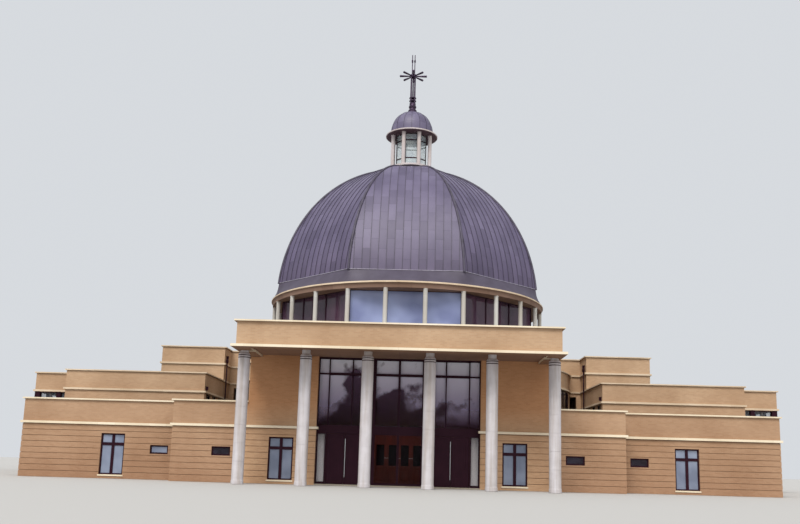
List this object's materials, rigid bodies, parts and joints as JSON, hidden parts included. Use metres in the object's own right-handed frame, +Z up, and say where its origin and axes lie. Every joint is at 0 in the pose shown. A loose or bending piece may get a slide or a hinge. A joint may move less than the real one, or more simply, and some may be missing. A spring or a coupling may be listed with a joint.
{
  "type": "1:2 scale model of a modern domed church building",
  "caption": "Domed brick church with a round nave, octagonal lead dome, glazed drum, lantern and cross, a tall columned portico and low stepped wings.",
  "frame": {"origin": "on the ground, on the underside of the floor slab, under the middle of the dome", "axes": "+Z up, the entrance front faces -Y, +X to the right of someone who faces that front"},
  "size_m": [24.74, 23.6, 16.75],
  "materials": {
    "brick": "matt buff facing brick with pale mortar",
    "stone": "smooth pale stone, honed",
    "cast_stone": "pale grey precast stone, fine grained",
    "lead": "dull weathered lead sheet, mottled",
    "roofing": "mineral-surfaced roofing felt",
    "dark_frame": "dark aubergine powder coat, satin",
    "glazing": "blue-grey tinted glass",
    "plaster": "matt cream plaster",
    "flooring": "matt grey-beige stone paving",
    "timber": "red-brown varnished hardwood",
    "bronze": "dark bronze, satin"
  },
  "bodies": {
    "building": {"cross": "bronze", "dome": "lead", "drum_colonnade": "stone", "drum_cornice": "stone", "drum_glass": "glazing", "drum_wall": "brick", "entrance_glass": "glazing", "entrance_screen": "dark_frame", "front_glass_left": "glazing", "front_glass_right": "glazing", "front_wall_left": "brick", "front_wall_right": "brick", "ground_floor": "flooring", "ground_string": "stone", "lantern_colonnade": "stone", "lantern_cornice": "stone", "lantern_dome": "lead", "lantern_glass": "glazing", "lobby_screen": "timber", "low_roof": "roofing", "portico_band": "stone", "portico_ceiling": "plaster", "portico_colonnade": "cast_stone", "portico_coping": "stone", "portico_fascia": "brick", "portico_roof": "roofing", "rear_coping": "stone", "rear_glass": "glazing", "rear_wall": "brick", "rotunda_coping": "stone", "rotunda_glass": "glazing", "rotunda_roof": "roofing", "rotunda_string": "stone", "rotunda_wall": "brick", "transept_coping_left": "stone", "transept_coping_right": "stone", "transept_end_wall_left": "brick", "transept_end_wall_right": "brick", "transept_glass_left": "glazing", "transept_glass_right": "glazing", "transept_roof_left": "roofing", "transept_roof_right": "roofing", "transept_string_left": "stone", "transept_string_right": "stone", "transept_wall_left": "brick", "transept_wall_right": "brick", "upper_coping_left": "stone", "upper_coping_right": "stone", "upper_roof_left": "roofing", "upper_roof_right": "roofing", "upper_string_left": "stone", "upper_string_right": "stone", "upper_wall_left": "brick", "upper_wall_right": "brick", "wing_coping_left": "stone", "wing_coping_right": "stone"},
    "leaf_outer_left": {"door_outer_left": "dark_frame"},
    "leaf_inner_left": {"door_inner_left": "dark_frame"},
    "leaf_inner_right": {"door_inner_right": "dark_frame"},
    "leaf_outer_right": {"door_outer_right": "dark_frame"}
  },
  "joints": [
    {"name": "outer_right_hinge", "type": "hinge", "parent": "building", "child": "leaf_outer_right", "pos_m": [1.78, -10.5525, 0.66], "axis": [0, 0, 1], "range_deg": [0, 90]},
    {"name": "inner_right_hinge", "type": "hinge", "parent": "building", "child": "leaf_inner_right", "pos_m": [0.925, -10.5525, 0.66], "axis": [0, 0, -1], "range_deg": [0, 90]},
    {"name": "outer_left_hinge", "type": "hinge", "parent": "building", "child": "leaf_outer_left", "pos_m": [-1.78, -10.5525, 0.66], "axis": [0, 0, -1], "range_deg": [0, 90]},
    {"name": "inner_left_hinge", "type": "hinge", "parent": "building", "child": "leaf_inner_left", "pos_m": [-0.925, -10.5525, 0.66], "axis": [0, 0, 1], "range_deg": [0, 90]}
  ]
}
